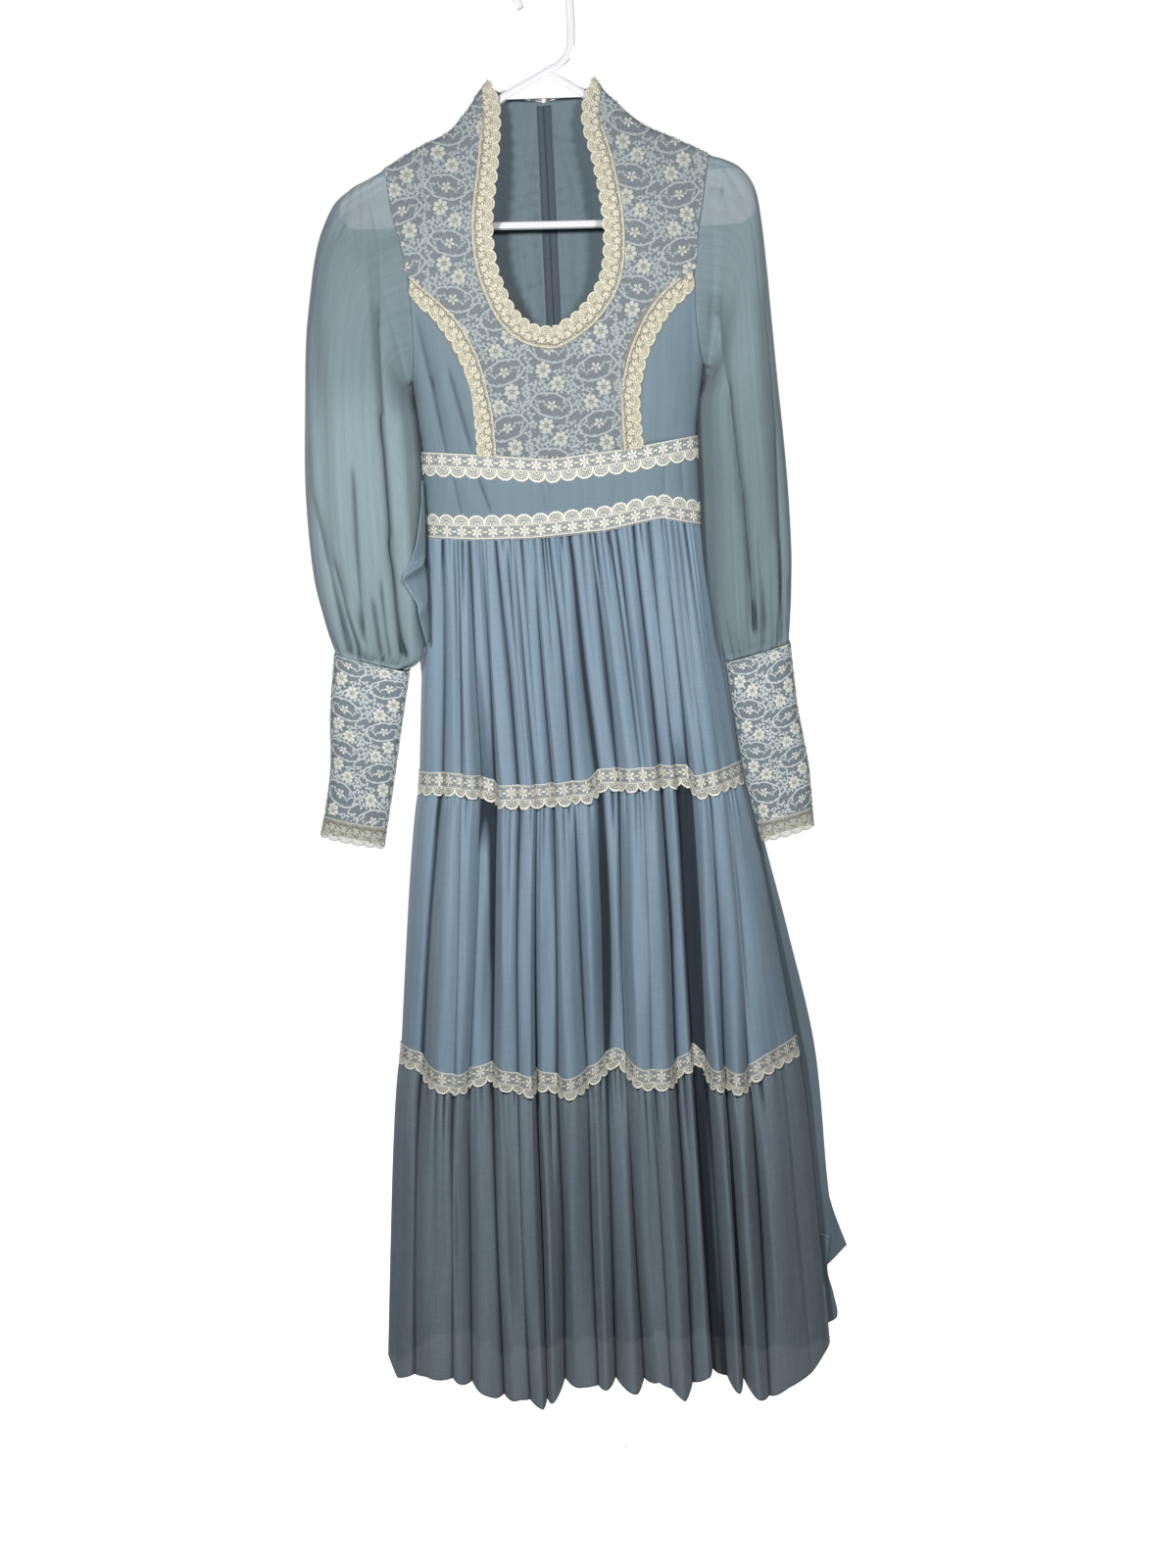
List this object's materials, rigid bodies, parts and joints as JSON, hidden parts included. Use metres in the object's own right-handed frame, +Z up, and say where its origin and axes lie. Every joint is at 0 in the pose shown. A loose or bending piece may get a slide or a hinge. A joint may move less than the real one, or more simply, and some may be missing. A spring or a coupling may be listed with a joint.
{
  "type": "prairie maxi dress on a hanger",
  "caption": "Long tiered voile dress with a standing collar, deep U neck, lace yoke, puffed sleeves, lace cuffs, lace edgings and a back zip, on a tubular hanger.",
  "frame": {"origin": "inside of the crown of the hanger's hook, where the rod that holds it touches", "axes": "+X to the right seen from the front, +Y away from the front through the dress, +Z up"},
  "size_m": [0.5336, 0.1765, 1.4885],
  "materials": {
    "voile": "matt slate-blue voile",
    "lace": "ecru lace",
    "zip_tape": "woven tape",
    "zip_metal": "satin",
    "plastic": "gloss"
  },
  "bodies": {
    "dress": {"front_bib": "voile", "side_front_left": "voile", "side_front_right": "voile", "back_left": "voile", "back_right": "voile", "midriff_front": "voile", "midriff_back_left": "voile", "midriff_back_right": "voile", "tier_1_front": "voile", "tier_1_back": "voile", "tier_2_front": "voile", "tier_2_back": "voile", "tier_3_front": "voile", "tier_3_back": "voile", "sleeve_left": "voile", "sleeve_right": "voile", "cuff_left": "voile", "cuff_right": "voile", "sash_left": "voile", "sash_right": "voile", "front_bib_lace": "lace", "lace_neck": "lace", "lace_collar_left": "lace", "lace_collar_right": "lace", "lace_bib_left": "lace", "lace_bib_right": "lace", "lace_waist_top_front": "lace", "lace_waist_top_back_left": "lace", "lace_waist_top_back_right": "lace", "lace_waist_bottom_front": "lace", "lace_waist_bottom_back_left": "lace", "lace_waist_bottom_back_right": "lace", "lace_tier_1_front": "lace", "lace_tier_1_back": "lace", "lace_tier_2_front": "lace", "lace_tier_2_back": "lace", "cuff_lace_left": "lace", "cuff_lace_right": "lace", "lace_wrist_left": "lace", "lace_wrist_right": "lace", "zip_tape": "zip_tape", "zip_slider": "zip_metal", "hanger": "plastic"},
    "zip_pull": {"zip_pull": "zip_metal"}
  },
  "joints": [
    {"name": "zip_pull_hinge", "type": "hinge", "parent": "dress", "child": "zip_pull", "pos_m": [-0.00494, 0.04327, -0.12932], "axis": [1, 0, 0], "range_deg": [0, 140]}
  ]
}
